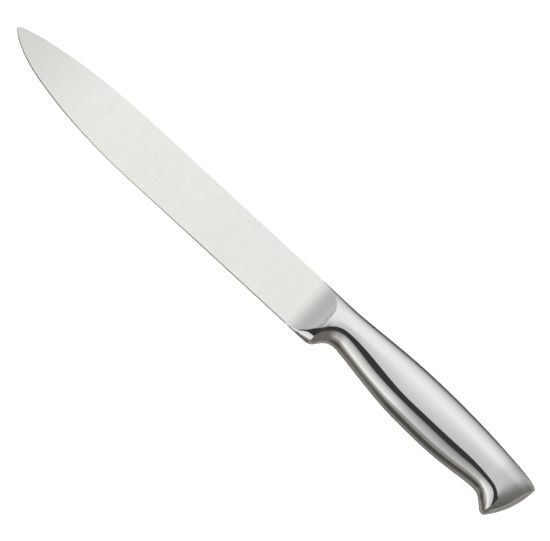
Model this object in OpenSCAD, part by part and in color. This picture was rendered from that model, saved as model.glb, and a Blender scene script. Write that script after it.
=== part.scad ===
// Carving knife with an all-steel handle.
// It lies on its side: +X runs to the butt, +Y to the spine, +Z up out of the upper side.
// All lengths are in millimetres.

/* [Blade] */
// Length of the sharpened edge, from the tip to the start of the bolster ramp
blade_len = 190; // [170:1:220]
// Height of the blade at the ramp, from the edge to the spine; the handle's height follows it
blade_height = 27.6; // [24:0.1:32]
// Thickness of the plate along the spine
blade_thick = 2.5; // [2:0.1:3.2]
// Thickness left above the sharpened bevel
edge_thick = 0.9; // [0.6:0.05:1.2]
// Height of the sharpened bevel
bevel_height = 0.7; // [0.4:0.1:1.5]
// Part of the spine thickness that is left at the tip
tip_thin = 0.45; // [0.3:0.05:1]
// Small break along the edges of the spine
spine_break = 0.2; // [0.1:0.05:0.4]
// Length of the plane part of the ground face, in front of the bolster ramp
flat_len = 60; // [50:1:75]

/* [Tang] */
// Length of the tang behind the start of the ramp
tang_len = 62; // [56:1:66]
// Height of the tang
tang_height = 9; // [7:0.5:10]
// Thickness of the tang
tang_thick = 1.2; // [0.8:0.1:1.3]
// Height of the tang's middle above the level of the tip
tang_mid = 2.6; // [2:0.1:3.4]
// Play of the tang in its slots, on each side
tang_play = 0.05; // [0.02:0.01:0.1]

/* [Bolster] */
// Length of the bolster along the handle
bolster_len = 32; // [29:1:38]
// Radius of the concave ramp between blade and handle
ramp_radius = 18.6; // [16:0.2:20]

/* [Handle] */
// Length of the handle from the start of the ramp to the butt
handle_len = 142; // [135:1:155]
// Greatest thickness of the handle
handle_thick = 18; // [16:0.5:21]
// Wall of the two pressed shells
wall = 1; // [0.8:0.1:1.3]
// Slope of the narrow chamfer under the ridge, rise over run
chamfer_slope = 0.36; // [0.25:0.01:0.45]
// Slope of the lower face where it leaves the chamfer, rise over run
lower_slope = 0.42; // [0.36:0.01:0.5]
// How much steeper the lower face is at the small guard, rise over run
guard_flare = 0.08; // [0:0.01:0.2]
// How much further down the lower face stays plane at the guard, as a part of its height
guard_hold = 0.3; // [0:0.05:0.4]

/* [Butt] */
// Length of the butt cap
cap_len = 24; // [20:0.5:28]
// Radius of the end face, seen from the side of the knife
butt_radius = 42; // [40:0.5:50]
// Radius of the end face, seen from above the spine
barrel_radius = 10.3; // [9.5:0.1:14]
// Height of the middle of the end face, above the level of the tip
butt_mid = 8; // [6:0.5:10]

/* [Joints] */
// Length of the spigots of bolster and butt cap inside the shells
spigot_len = 10; // [6:0.5:12]
// Play between spigots and shells
spigot_play = 0.1; // [0.05:0.05:0.2]
// Width of the ring welds along the handle
ring_weld = 0.8; // [0.5:0.1:1.2]
// Width of the seam welds, as a part of the rounding that they sit in
seam_part = 0.03; // [0.02:0.005:0.05]

/* [Balance weight] */
// Diameter of the steel slug
weight_dia = 12; // [10.5:0.5:13]
// Length of the slug
weight_len = 26; // [20:1:30]
// Gap between the spigot of the bolster and the slug
weight_gap = 4; // [1:0.5:6]
// Diameter of the two rivets
rivet_dia = 3; // [2:0.1:3.5]
// Distance between the two rivets, as a part of the length of tang inside the slug
rivet_part = 0.44; // [0.4:0.01:0.5]
// Play of the rivets in their holes, on the diameter
rivet_play = 0.1; // [0.05:0.01:0.15]
// Depth of the rivet ends below the round of the slug
rivet_sink = 0.4; // [0.2:0.1:0.6]

/* [Hidden] */
$fn = 96;
steel = [0.76, 0.77, 0.76];
bright = [0.84, 0.84, 0.83];
grey = [0.6, 0.61, 0.62];
// How far a cut runs on past the piece that it cuts.
past = 1.5;
// Least distance between two neighbouring sections of bolster or butt cap.
least_step = 0.4;
// Distances behind the tip at which its round end is drawn.
tip_steps = [0, 0.6, 1.4, 2.5, 3.7];
// Most of the blade's height that bevel and spine break may take near the tip.
bevel_share = 0.35;
break_share = 0.2;
// Part of the lower face's height that stays plane, and how full the belly's rounding is.
lower_hold = 0.4;
belly_full = 1.14;
least_keel = 0.1;

// Stations of the blade, [distance from the start of the ramp, height, slope].
blade_spine = [
  [-190, -0.15, 0.75],
  [-185, 1.95, 0.312],
  [-165, 6, 0.164],
  [-135, 9.16, 0.057],
  [-100, 10.01, 0.005],
  [0, 10.45, 0]
];
blade_edge = [
  [-190, -1.05, -1.25],
  [-185, -5.21, -0.564],
  [-165, -12.26, -0.21],
  [-135, -16.65, -0.091],
  [-100, -17.92, 0.011],
  [0, -17.15, 0.005]
];

// Stations of the handle, [distance behind the start of the ramp, height, slope].
handle_spine = [
  [0, 10.45, 0],
  [10, 10.45, 0],
  [25, 10.64, 0.05],
  [69, 12.7, 0],
  [120, 10.28, -0.102],
  [136, 8.35, -0.17],
  [139, 7.62, -0.3],
  [141, 6.7, -0.7],
  [142, 5.7, -1.3],
  [146, 2, -1]
];
handle_belly = [
  [0, -17.15, 0.005],
  [12.4, -17.11, 0.01],
  [14, -16.93, 0.25],
  [16, -16.05, 0.75],
  [18.2, -13.35, 1.25],
  [20, -11.46, 0.85],
  [22.5, -10.07, 0.33],
  [25.4, -9.67, -0.03],
  [28.2, -9.99, -0.13],
  [45, -12.55, -0.149],
  [65, -14.94, -0.065],
  [88, -15.6, 0],
  [108, -14.29, 0.11],
  [118.5, -13.5, 0],
  [122.5, -14.2, -0.42],
  [125.5, -16.3, -0.86],
  [128.7, -19.15, -0.75],
  [130.2, -19.68, 0],
  [146, -19.68, 0]
];
// The ridge is the soft line where the side turns over to the lower face.
ridge_line = [
  [0, -16.4, 0],
  [3.5, -15.7, 0.35],
  [5, -15.1, 0.55],
  [7, -13.6, 0.95],
  [8, -12.6, 0.95],
  [9.5, -11.3, 0.85],
  [11, -10.1, 0.95],
  [12, -9.05, 1.13],
  [14, -6.65, 1.25],
  [16, -4.05, 1.2],
  [18, -2.15, 0.82],
  [20, -0.82, 0.52],
  [22, -0.02, 0.28],
  [25, 0.45, 0.08],
  [28, 0.55, 0],
  [38, -0.05, -0.1],
  [46, -1.05, -0.14],
  [60, -2.8, -0.1],
  [72, -3.33, 0],
  [92, -3.4, 0],
  [108, -3.25, -0.01],
  [118, -3.92, -0.11],
  [124, -4.8, -0.2],
  [128, -6.4, -0.62],
  [130, -7.9, -0.8],
  [131.25, -9, -1.6],
  [131.9, -11.8, -8],
  [132.4, -16.5, -8],
  [132.8, -18.8, -2],
  [133.4, -19.1, -0.1],
  [146, -19.2, 0]
];
// Height of the narrow chamfer below the ridge.
chamfer_band = [
  [0, 0.3, 0],
  [3.5, 0.3, 0.05],
  [5, 0.4, 0.3],
  [7, 1.3, 0.45],
  [8, 1.7, 0.25],
  [9.5, 1.9, 0.25],
  [11, 2.4, 0.65],
  [12, 3.25, 1],
  [14.2, 5.7, 1.15],
  [14.6, 4.2, -1.2],
  [16, 3.4, -0.4],
  [18, 2.75, -0.25],
  [22, 2.3, -0.1],
  [26, 2.1, 0],
  [38, 2.85, 0.07],
  [46, 3.15, 0],
  [65, 2.6, 0],
  [85, 2.75, 0],
  [104, 2.75, -0.03],
  [118, 1.9, -0.03],
  [124, 1.7, 0.05],
  [128, 2.15, 0.25],
  [129.3, 2.8, 0.6],
  [130.4, 4.15, 1.7],
  [130.9, 5.4, 4],
  [131.25, 9.6, 0],
  [131.9, 7.2, -8],
  [132.4, 2.6, -8],
  [132.8, 0.4, -0.5],
  [133.4, 0.3, 0],
  [146, 0.3, 0]
];
// The widest line is where the side stands furthest out.
widest_line = [
  [0, 1, 0],
  [20, 3, 0.08],
  [60, 4.5, 0],
  [110, 3.5, -0.03],
  [146, 0, -0.1]
];
half_thickness = [
  [0, 6.6, 0.04],
  [14, 7.1, 0.03],
  [50, 8.55, 0.03],
  [80, 9, 0],
  [115, 8.7, -0.02],
  [127, 8.3, -0.04],
  [131, 8.08, -0.07],
  [134, 7.78, -0.13],
  [137, 7.3, -0.19],
  [140, 6.65, -0.24],
  [146, 5.2, -0.24]
];
// How far the ridge stands below the widest line, measured through the thickness.
ridge_drop = [
  [0, 5.88, 0],
  [3.5, 5.78, -0.15],
  [5, 5.39, -0.3],
  [7, 4.67, -0.4],
  [8, 4.25, -0.47],
  [9.5, 3.46, -0.5],
  [11, 2.72, -0.53],
  [12, 2.15, -0.6],
  [13, 1.54, -0.6],
  [14.2, 0.82, -0.5],
  [14.6, 0.68, -0.2],
  [16, 0.56, -0.06],
  [18, 0.45, -0.02],
  [30, 0.4, 0],
  [60, 0.7, 0],
  [118, 0.75, 0],
  [124, 0.45, -0.07],
  [130, 0, -0.03],
  [131, 0, 0],
  [146, 0, 0]
];
// Slope of the side where it reaches the ridge, rise over run.
side_slope = [
  [0, 0.24, 0],
  [12, 0.22, 0],
  [20, 0.17, 0],
  [30, 0.16, 0],
  [60, 0.18, 0],
  [118, 0.18, 0],
  [130, 0, -0.01],
  [131, 0, 0],
  [146, 0, 0]
];
// How strongly the side bends in below the widest line near the butt, per square millimetre of height.
side_fall = [
  [0, 0, 0],
  [118, 0, 0],
  [130, 0.0036, 0.0004],
  [134, 0.0064, 0.00095],
  [136, 0.0083, 0.0009],
  [140, 0.0115, 0.0006],
  [146, 0.014, 0]
];
// Where the lower face stays plane further down: at the small guard and towards the tip of the hook.
hold_part = [
  [0, 1, 0],
  [14.2, 1, 0],
  [14.6, 0, 0],
  [127.2, 0, 0],
  [129.6, 1, 0.3],
  [131.25, 1.4, 0],
  [131.9, 0, 0],
  [146, 0, 0]
];
// Where the lower face is steeper: at the small guard, and a little less at the hook.
flare_part = [
  [0, 1, 0],
  [14.2, 1, 0],
  [14.6, 0, 0],
  [122, 0, 0],
  [126.5, 0.6, 0],
  [131.25, 0.6, 0],
  [131.9, 0, 0],
  [146, 0, 0]
];
// Part of the half thickness over which the section rises straight up at the spine.
spine_steep = [
  [0, 0.46, 0],
  [10, 0.46, 0],
  [22, 0.62, 0],
  [146, 0.62, 0]
];
// Part of the height above the widest line over which the side stays nearly plane.
side_hold = [
  [0, 0.4, 0],
  [10, 0.4, 0],
  [22, 0.6, 0],
  [146, 0.6, 0]
];

// The tables are drawn for one knife, and are stretched from its sizes to the sizes above.
table_blade = -blade_spine[0][0];
table_height = blade_spine[5][1] - blade_edge[5][1];
table_len = handle_spine[8][0];
table_thick = 2 * half_thickness[3][1];
sx = handle_len / table_len;
sy = blade_height / table_height;
sz = handle_thick / table_thick;

tip_x = -blade_len;
spine_top = handle_spine[3][1] * sy;
hook_bottom = handle_belly[17][1] * sy;
butt_corner_y = handle_spine[8][1] * sy;
butt_mid_x = handle_len - butt_radius;
butt_x = butt_mid_x + sqrt(pow(butt_radius, 2) - pow(butt_mid - butt_corner_y, 2));
cap_x = handle_len - cap_len;
shell_front = bolster_len + ring_weld;
shell_rear = cap_x - ring_weld;
spigot_inset = wall + spigot_play;
weight_x = bolster_len + spigot_len + weight_gap;
grip = tang_len - weight_x;
rivet_x = weight_x + grip / 2;
rivet_step = rivet_part * grip / 2;
rivet_length = weight_dia - 2 * rivet_sink;
edge_y = blade_edge[5][1] * sy;
spine_y = blade_spine[5][1] * sy;
face_fall = (blade_thick - edge_thick) / 2;
face_height = spine_y - edge_y - bevel_height;
face_angle = atan(face_fall / face_height);

// Height on a line of stations [x, y, slope] at the distance x.
function station(k, x, i = 0) =
  (i >= len(k) - 2 || x <= k[i + 1][0])
    ? let (
        w = k[i + 1][0] - k[i][0],
        t = min(max((x - k[i][0]) / w, 0), 1),
        u = 1 - t
      )
      k[i][1] * (1 + 2 * t) * u * u + k[i + 1][1] * t * t * (3 - 2 * t)
        + w * k[i][2] * t * u * u - w * k[i + 1][2] * t * t * u
    : station(k, x, i + 1);

function bezier(p, t) =
  let (u = 1 - t)
  u * u * u * p[0] + 3 * u * u * t * p[1] + 3 * u * t * t * p[2] + t * t * t * p[3];

function between(a, b, n) = [for (i = [0:n - 1]) a + (b - a) * i / n];

// Where the points of a section lie on its three arcs: over the spine, down the side, round the belly.
over_parts = [0, seam_part, 0.1, 0.18, 0.27, 0.37, 0.48, 0.6, 0.73, 0.87];
side_parts = [0, 1 / 3, 2 / 3];
under_parts = [0, 0.22, 0.4, 0.55, 0.67, 0.77, 0.86, 0.93, 1 - seam_part, 1];

// Half of the handle's section at x as [height, thickness] points, from the spine to the belly.
function half_section(x) =
  let (
    q = x / sx,
    ys = station(handle_spine, q) * sy,
    yb = station(handle_belly, q) * sy,
    yr = station(ridge_line, q) * sy,
    yw = station(widest_line, q) * sy,
    h = station(half_thickness, q) * sz,
    tall = yw - yr,
    fall = station(side_fall, q) * sz / sy / sy,
    hr = h - station(ridge_drop, q) * sz - fall * tall * tall,
    band = station(chamfer_band, q) * sy,
    steep = sz / sy,
    s1 = station(side_slope, q) * steep + 2 * fall * tall,
    s2 = (lower_slope + guard_flare * station(flare_part, q)) * steep,
    yc = yr - band,
    hc = hr - band * chamfer_slope * steep,
    rise = station(spine_steep, q) * h,
    flank = station(side_hold, q) * (ys - yw),
    over = [[ys, 0], [ys, rise], [yw + flank, h], [yw, h]],
    reach = tall / 3,
    side = [[yw, h], [yw - reach, h], [yr + reach, hr + reach * s1], [yr, hr]],
    deep = yc - yb,
    drop = (lower_hold + guard_hold * station(hold_part, q)) * deep,
    keel = max(hc - belly_full * s2 * deep, least_keel * hc),
    under = [[yc, hc], [yc - drop, hc - drop * s2], [yb, keel], [yb, 0]]
  )
  concat(
    [for (t = over_parts) bezier(over, t)],
    [for (t = side_parts) bezier(side, t)],
    [[yr, hr]],
    [for (t = under_parts) bezier(under, t)]
  );

// The same half section, moved inwards by the inset along its normals.
function inset_section(x, inset) =
  let (p = half_section(x), n = len(p))
  [
    for (i = [0:n - 1])
      let (
        d = p[min(i + 1, n - 1)] - p[max(i - 1, 0)],
        m = i == 0 ? [1, 0] : i == n - 1 ? [-1, 0] : [d[1], -d[0]] / norm(d)
      )
      p[i] - (i == 0 || i == n - 1 ? m : m[1] < 0 ? -m : m) * inset
  ];

// Closed loop of points around the whole section.
function full_loop(x, inset = 0) =
  let (p = inset_section(x, inset), n = len(p))
  concat(
    [for (i = [0:n - 1]) [x, p[i][0], p[i][1]]],
    [for (i = [n - 2:-1:1]) [x, p[i][0], -p[i][1]]]
  );

// Closed loop around one wall, between the points first and last of the half section.
function wall_loop(x, first, last) =
  let (o = half_section(x), p = inset_section(x, wall))
  concat(
    [for (i = [first:last]) [x, o[i][0], o[i][1]]],
    [for (i = [last:-1:first]) [x, p[i][0], p[i][1]]]
  );

// Closed loop across a seam weld: the outer points and the inner points around the middle plane.
// The first point is above the middle plane where turn is 1, and below it where turn is -1.
function seam_loop(x, mid, edge, turn) =
  let (o = half_section(x), p = inset_section(x, wall))
  [
    [x, o[edge][0], turn * o[edge][1]],
    [x, o[mid][0], 0],
    [x, o[edge][0], -turn * o[edge][1]],
    [x, p[edge][0], -turn * p[edge][1]],
    [x, p[mid][0], 0],
    [x, p[edge][0], turn * p[edge][1]]
  ];

// Solid through loops of equal length. The end faces join point i with its partner across the loop.
module loft(loops, lap) {
  n = len(loops);
  m = len(loops[0]);
  half = floor((m - lap) / 2);
  partner = [for (i = [0:half]) (m - lap - i) % m];
  cap = [
    for (i = [0:half - 1])
      for (f = [[i, i + 1, partner[i + 1]], [i, partner[i + 1], partner[i]]])
        if (f[0] != f[1] && f[1] != f[2] && f[0] != f[2]) f
  ];
  skin = [
    for (j = [0:n - 2])
      for (i = [0:m - 1])
        let (a = j * m + i, b = j * m + (i + 1) % m)
        each [[a, b + m, b], [a, a + m, b + m]]
  ];
  front = cap;
  rear = [for (f = cap) [f[0], f[2], f[1]] + [1, 1, 1] * (n - 1) * m];
  polyhedron([for (l = loops) each l], concat(front, skin, rear));
}

module place() {
  translate([-(tip_x + butt_x) / 2, -(spine_top + hook_bottom) / 2, handle_thick / 2]) children();
}

// Half of the plate's thickness at the height y, on the plane that the blade's face is ground to.
function face_half(y) = edge_thick / 2 + (y - edge_y - bevel_height) * face_fall / face_height;

// One wedge-shaped section of the blade: spine, ground face, bevel and edge.
// The face is one plane near the handle, and thins towards the tip in front of that.
function blade_loop(q) =
  let (
    x = q * blade_len / table_blade,
    top = station(blade_spine, q) * sy,
    low = station(blade_edge, q) * sy,
    flat = x >= -flat_len,
    part = flat ? 1 : tip_thin + (1 - tip_thin) * (x + blade_len) / (blade_len - flat_len),
    bevel = min(bevel_height, bevel_share * (top - low)),
    grown = face_half(edge_y + top - low - spine_break),
    thick = flat ? face_half(top - spine_break) : grown * part,
    thin = flat ? face_half(low + bevel) : edge_thick / 2 * part,
    chip = min(spine_break, break_share * (top - low), thick / 2)
  )
  [
    [x, top, thick - chip],
    [x, top - chip, thick],
    [x, low + bevel, thin],
    [x, low, 0],
    [x, low + bevel, -thin],
    [x, top - chip, -thick],
    [x, top, chip - thick]
  ];

module blade() {
  nose = blade_spine[1][0];
  bend = blade_spine[3][0];
  full = blade_spine[4][0];
  flat = -flat_len * table_blade / blade_len;
  stations = concat(
    [for (d = tip_steps) d - table_blade],
    between(nose, bend, 14),
    between(bend, full, 5),
    between(full, flat, 2),
    between(flat, 0, 3),
    [0]
  );
  root = spine_break;
  color(bright) place() difference() {
    union() {
      loft([for (q = stations) blade_loop(q)], 1);
      translate([-root, tang_mid - tang_height / 2, -tang_thick / 2])
        cube([tang_len + root, tang_height, tang_thick]);
    }
    rivet_holes();
  }
}

module rivet_holes() {
  for (side = [-1, 1])
    translate([rivet_x + side * rivet_step, tang_mid, -handle_thick / 2])
      cylinder(d = rivet_dia + rivet_play, h = handle_thick);
}

module tang_slot(from, to) {
  height = tang_height + 2 * tang_play;
  thick = tang_thick + 2 * tang_play;
  translate([from, tang_mid - height / 2, -thick / 2]) cube([to - from, height, thick]);
}

// The cut that leaves one concave ramp, as steep as the ground face of the blade.
module ramp_cut(face) {
  lift = blade_thick / 2 + ramp_radius / cos(face_angle);
  tall = 2 * blade_height;
  translate([0, spine_y, face * lift])
    rotate([90 + face * face_angle, 0, 0])
      translate([0, 0, -tall / 2])
        cylinder(r = ramp_radius, h = 2 * tall);
}

module bolster() {
  drawn = [
    0, 1.8, 3.5, 5, 6, 7, 8, 9.5, 11, 12, 13, 13.6, 14.2, 14.6, 15.3, 16, 17, 18, 19, 20, 21.2, 22.5,
    24, 25.7, 28.2
  ];
  outer = concat([for (q = drawn) if (q * sx < bolster_len - least_step) q * sx], [bolster_len]);
  inner = [bolster_len, bolster_len + spigot_len / 2, bolster_len + spigot_len];
  color(steel) place() difference() {
    loft(concat([for (x = outer) full_loop(x)], [for (x = inner) full_loop(x, spigot_inset)]), 0);
    ramp_cut(1);
    ramp_cut(-1);
    tang_slot(-past, bolster_len + spigot_len + past);
  }
}

module balance_weight() {
  color(grey) place() difference() {
    translate([weight_x, tang_mid, 0]) rotate([0, 90, 0]) cylinder(d = weight_dia, h = weight_len);
    tang_slot(weight_x - past, tang_len + tang_play);
    rivet_holes();
  }
}

module rivet(side) {
  color(bright) place()
    translate([rivet_x + side * rivet_step, tang_mid, -rivet_length / 2])
      cylinder(d = rivet_dia, h = rivet_length);
}

module rivet_front() {
  rivet(-1);
}

module rivet_rear() {
  rivet(1);
}

// Stations along the shells, with one at the highest point of the spine and one at the thickest place.
top_x = handle_spine[3][0] * sx;
thick_x = half_thickness[3][0] * sx;
shell_stations = concat(
  between(shell_front, top_x, 9),
  between(top_x, thick_x, 3),
  between(thick_x, shell_rear, 9),
  [shell_rear]
);
last_point = len(half_section(0)) - 1;

module shell() {
  loft([for (x = shell_stations) wall_loop(x, 1, last_point - 1)], 1);
}

module handle_shell_upper() {
  color(steel) place() shell();
}

module handle_shell_lower() {
  color(steel) place() mirror([0, 0, 1]) shell();
}

module butt_cap() {
  drawn = [
    118.5, 119.8, 121.1, 122.3, 123.4, 124.5, 125.5, 126.5, 127.4, 128.2, 128.9, 129.6, 130.2, 130.6,
    130.9, 131.1, 131.25, 131.6, 131.9, 132.15, 132.4, 132.6, 132.8, 133.4, 134.4, 135.8, 137.4, 139,
    140, 141, 141.5, 142, 143
  ];
  inner = [cap_x - spigot_len, cap_x - spigot_len / 2, cap_x];
  outer = concat([cap_x], [for (q = drawn) if (q * sx > cap_x + least_step) q * sx]);
  inside = butt_radius - barrel_radius;
  color(steel) place() intersection() {
    loft(concat([for (x = inner) full_loop(x, spigot_inset)], [for (x = outer) full_loop(x)]), 0);
    translate([butt_mid_x, butt_mid, 0]) {
      rotate_extrude() translate([inside, 0]) circle(r = barrel_radius);
      cylinder(r = inside + past, h = handle_thick + past, center = true);
    }
  }
}

module seam_weld_spine() {
  color(bright) place() loft([for (x = shell_stations) seam_loop(x, 0, 1, -1)], 1);
}

module seam_weld_belly() {
  color(bright) place()
    loft([for (x = shell_stations) seam_loop(x, last_point, last_point - 1, 1)], 1);
}

// A ring between two planes across the handle, as thick as the shells' wall.
module ring(from, to) {
  n = 2 * last_point;
  loops = [full_loop(from), full_loop(to), full_loop(to, wall), full_loop(from, wall)];
  faces = [
    for (j = [0:3])
      for (i = [0:n - 1])
        let (k = (i + 1) % n, a = j * n, b = ((j + 1) % 4) * n)
        each [[a + i, b + k, a + k], [a + i, b + i, b + k]]
  ];
  polyhedron([for (l = loops) each l], faces);
}

module ring_weld_front() {
  color(bright) place() ring(bolster_len, shell_front);
}

module ring_weld_rear() {
  color(bright) place() ring(shell_rear, cap_x);
}

blade();
bolster();
balance_weight();
rivet_front();
rivet_rear();
handle_shell_upper();
handle_shell_lower();
butt_cap();
seam_weld_spine();
seam_weld_belly();
ring_weld_front();
ring_weld_rear();
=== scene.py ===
# %% [markdown]
# # A carving knife in satin steel
# The knife is all steel: a long ground blade, a cast bolster with a concave ramp, a hollow handle of
# two pressed shells, and a hooked butt. Every joint has been welded and ground flush, so the handle
# reads as one smooth body. This lesson rebuilds that body finely, because polished steel shows every
# facet, and then lights it the way a studio would.

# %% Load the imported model
import math

import bmesh
import bpy
import numpy as np
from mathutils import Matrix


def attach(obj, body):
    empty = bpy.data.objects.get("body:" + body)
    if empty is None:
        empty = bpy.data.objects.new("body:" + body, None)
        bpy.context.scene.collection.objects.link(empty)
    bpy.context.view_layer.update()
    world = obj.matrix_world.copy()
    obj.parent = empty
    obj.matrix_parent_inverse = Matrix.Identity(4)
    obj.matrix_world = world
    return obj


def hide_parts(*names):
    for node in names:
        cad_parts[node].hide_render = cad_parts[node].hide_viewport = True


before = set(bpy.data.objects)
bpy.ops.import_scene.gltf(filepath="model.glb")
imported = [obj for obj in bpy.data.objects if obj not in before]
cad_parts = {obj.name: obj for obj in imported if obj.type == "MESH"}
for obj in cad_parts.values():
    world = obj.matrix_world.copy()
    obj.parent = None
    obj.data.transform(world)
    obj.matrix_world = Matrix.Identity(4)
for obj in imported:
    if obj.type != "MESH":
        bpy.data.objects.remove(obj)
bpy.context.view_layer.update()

MM = 0.001

# %% [markdown]
# ## The lines that shape the knife
# A knife maker draws a few long curves: spine, belly, ridge, thickness. Each one is kept here as a
# short list of stations [distance, height, slope], and a cubic runs between neighbours. The numbers
# are those of the solid model, in millimetres, so the fine surfaces lie where the solids lie.
# x is 0 where the ramp of the bolster starts, y is 0 at the level of the tip, z is 0 in mid plane.

# %% Sizes
BLADE_LEN, BLADE_THICK, EDGE_THICK = 190.0, 2.5, 0.9
BEVEL, TIP_THIN, SPINE_BREAK, FLAT_LEN = 0.7, 0.45, 0.2, 60.0
# most of the blade's height that bevel and spine break may take near the tip
BEVEL_SHARE, BREAK_SHARE = 0.35, 0.2
TANG_LEN, TANG_HEIGHT, TANG_THICK, TANG_MID, TANG_PLAY = 62.0, 9.0, 1.2, 2.6, 0.05
RIVET_X, RIVET_PITCH, RIVET_HOLE = 54.0, 7.04, 3.1
BOLSTER_LEN, RAMP_RADIUS, CAP_X, HANDLE_LEN = 32.0, 18.6, 118.0, 142.0
WALL, RING_WELD, SPIGOT_LEN, SPIGOT_INSET, SEAM_PART = 1.0, 0.8, 10.0, 1.1, 0.03
CHAMFER_SLOPE, LOWER_SLOPE, GUARD_FLARE, GUARD_HOLD = 0.36, 0.42, 0.08, 0.3
# part of the lower face's height that stays plane, and how full the belly's rounding is
LOWER_HOLD, BELLY_FULL, LEAST_KEEL = 0.4, 1.14, 0.1
BUTT_RADIUS, BARREL_RADIUS, BUTT_MID_Y = 42.0, 10.3, 8.0
BUTT_MID_X = HANDLE_LEN - BUTT_RADIUS
SHELL_FRONT, SHELL_REAR = BOLSTER_LEN + RING_WELD, CAP_X - RING_WELD
# how far a cut runs on past the piece that it cuts
PAST = 1.0
print("handle shells in mm:", SHELL_REAR - SHELL_FRONT)

# %% Stations of the blade
BLADE_SPINE = [(-190, -0.15, 0.75), (-185, 1.95, 0.312), (-165, 6.0, 0.164), (-135, 9.16, 0.057),
               (-100, 10.01, 0.005), (0, 10.45, 0)]
BLADE_EDGE = [(-190, -1.05, -1.25), (-185, -5.21, -0.564), (-165, -12.26, -0.21),
              (-135, -16.65, -0.091), (-100, -17.92, 0.011), (0, -17.15, 0.005)]
print("stations of the blade:", len(BLADE_SPINE) + len(BLADE_EDGE))

# %% Stations of the handle
HANDLE_SPINE = [(0, 10.45, 0), (10, 10.45, 0), (25, 10.64, 0.05), (69, 12.7, 0), (120, 10.28, -0.102),
                (136, 8.35, -0.17), (139, 7.62, -0.3), (141, 6.7, -0.7), (142, 5.7, -1.3), (146, 2, -1)]
HANDLE_BELLY = [(0, -17.15, 0.005), (12.4, -17.11, 0.01), (14, -16.93, 0.25), (16, -16.05, 0.75),
                (18.2, -13.35, 1.25), (20, -11.46, 0.85), (22.5, -10.07, 0.33), (25.4, -9.67, -0.03),
                (28.2, -9.99, -0.13), (45, -12.55, -0.149), (65, -14.94, -0.065), (88, -15.6, 0),
                (108, -14.29, 0.11), (118.5, -13.5, 0), (122.5, -14.2, -0.42), (125.5, -16.3, -0.86),
                (128.7, -19.15, -0.75), (130.2, -19.68, 0), (146, -19.68, 0)]
# the ridge is the soft line where the side turns over to the lower face
RIDGE_LINE = [(0, -16.4, 0), (3.5, -15.7, 0.35), (5, -15.1, 0.55), (7, -13.6, 0.95), (8, -12.6, 0.95),
              (9.5, -11.3, 0.85), (11, -10.1, 0.95), (12, -9.05, 1.13), (14, -6.65, 1.25),
              (16, -4.05, 1.2), (18, -2.15, 0.82), (20, -0.82, 0.52), (22, -0.02, 0.28),
              (25, 0.45, 0.08), (28, 0.55, 0), (38, -0.05, -0.1), (46, -1.05, -0.14), (60, -2.8, -0.1),
              (72, -3.33, 0), (92, -3.4, 0), (108, -3.25, -0.01), (118, -3.92, -0.11),
              (124, -4.8, -0.2), (128, -6.4, -0.62), (130, -7.9, -0.8), (131.25, -9, -1.6),
              (131.9, -11.8, -8), (132.4, -16.5, -8), (132.8, -18.8, -2), (133.4, -19.1, -0.1),
              (146, -19.2, 0)]
# height of the narrow chamfer below the ridge
CHAMFER_BAND = [(0, 0.3, 0), (3.5, 0.3, 0.05), (5, 0.4, 0.3), (7, 1.3, 0.45), (8, 1.7, 0.25),
                (9.5, 1.9, 0.25), (11, 2.4, 0.65), (12, 3.25, 1), (14.2, 5.7, 1.15), (14.6, 4.2, -1.2),
                (16, 3.4, -0.4), (18, 2.75, -0.25), (22, 2.3, -0.1), (26, 2.1, 0), (38, 2.85, 0.07),
                (46, 3.15, 0), (65, 2.6, 0), (85, 2.75, 0), (104, 2.75, -0.03), (118, 1.9, -0.03),
                (124, 1.7, 0.05), (128, 2.15, 0.25), (129.3, 2.8, 0.6), (130.4, 4.15, 1.7),
                (130.9, 5.4, 4), (131.25, 9.6, 0), (131.9, 7.2, -8), (132.4, 2.6, -8),
                (132.8, 0.4, -0.5), (133.4, 0.3, 0), (146, 0.3, 0)]
# where the side stands furthest out
WIDEST_LINE = [(0, 1, 0), (20, 3, 0.08), (60, 4.5, 0), (110, 3.5, -0.03), (146, 0, -0.1)]
HALF_THICKNESS = [(0, 6.6, 0.04), (14, 7.1, 0.03), (50, 8.55, 0.03), (80, 9, 0), (115, 8.7, -0.02),
                  (127, 8.3, -0.04), (131, 8.08, -0.07), (134, 7.78, -0.13), (137, 7.3, -0.19),
                  (140, 6.65, -0.24), (146, 5.2, -0.24)]
# how far the ridge stands below the widest line, measured through the thickness
RIDGE_DROP = [(0, 5.88, 0), (3.5, 5.78, -0.15), (5, 5.39, -0.3), (7, 4.67, -0.4), (8, 4.25, -0.47),
              (9.5, 3.46, -0.5), (11, 2.72, -0.53), (12, 2.15, -0.6), (13, 1.54, -0.6),
              (14.2, 0.82, -0.5), (14.6, 0.68, -0.2), (16, 0.56, -0.06), (18, 0.45, -0.02),
              (30, 0.4, 0), (60, 0.7, 0), (118, 0.75, 0), (124, 0.45, -0.07), (130, 0, -0.03),
              (131, 0, 0), (146, 0, 0)]
# slope of the side where it reaches the ridge
SIDE_SLOPE = [(0, 0.24, 0), (12, 0.22, 0), (20, 0.17, 0), (30, 0.16, 0), (60, 0.18, 0), (118, 0.18, 0),
              (130, 0, -0.01), (131, 0, 0), (146, 0, 0)]
# how strongly the side bends in near the butt
SIDE_FALL = [(0, 0, 0), (118, 0, 0), (130, 0.0036, 0.0004), (134, 0.0064, 0.00095),
             (136, 0.0083, 0.0009), (140, 0.0115, 0.0006), (146, 0.014, 0)]
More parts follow.
